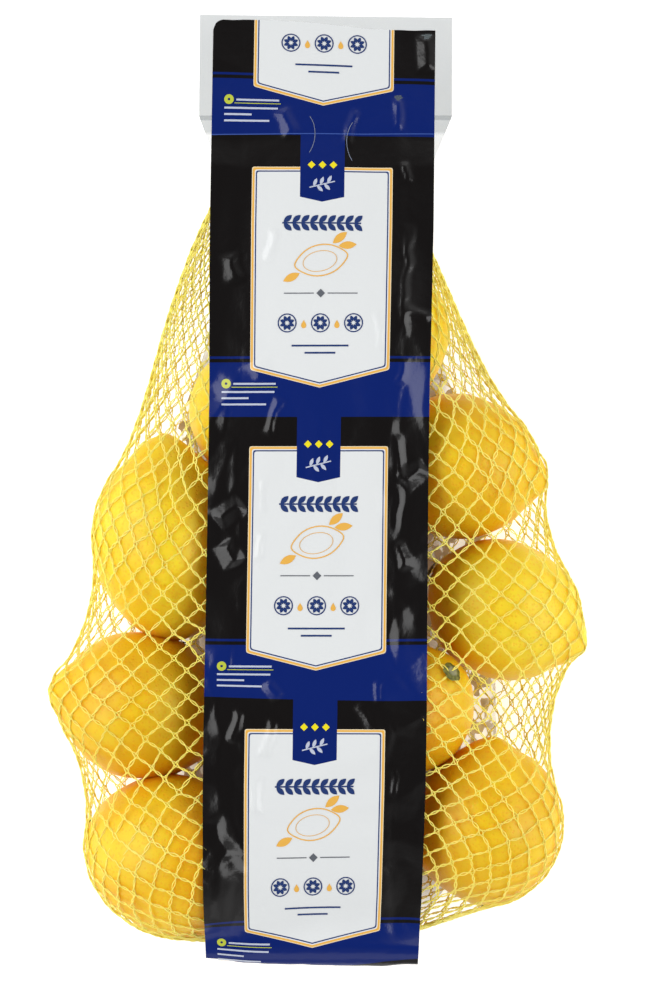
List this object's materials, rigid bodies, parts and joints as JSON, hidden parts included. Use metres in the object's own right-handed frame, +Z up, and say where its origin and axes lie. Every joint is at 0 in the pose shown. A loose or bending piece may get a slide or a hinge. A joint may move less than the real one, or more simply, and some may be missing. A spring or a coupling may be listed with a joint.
{
  "type": "net of lemons",
  "caption": "Filled net pack of whole lemons lying on its back, with a long printed front film and a clear back film sealed together in a flat header.",
  "frame": {"origin": "centre of the bounding box's base, on the surface the pack lies on", "axes": "+Y along the pack's length towards the flat header, +Z up out of the printed front, +X to the right of the printed front"},
  "size_m": [0.23, 0.398, 0.0728],
  "materials": {
    "lemon_net": "satin",
    "printed_film": "gloss",
    "clear_film": "gloss"
  },
  "bodies": {
    "root": {"net_bag": "lemon_net", "label_band": "printed_film", "back_band": "clear_film"}
  },
  "joints": []
}
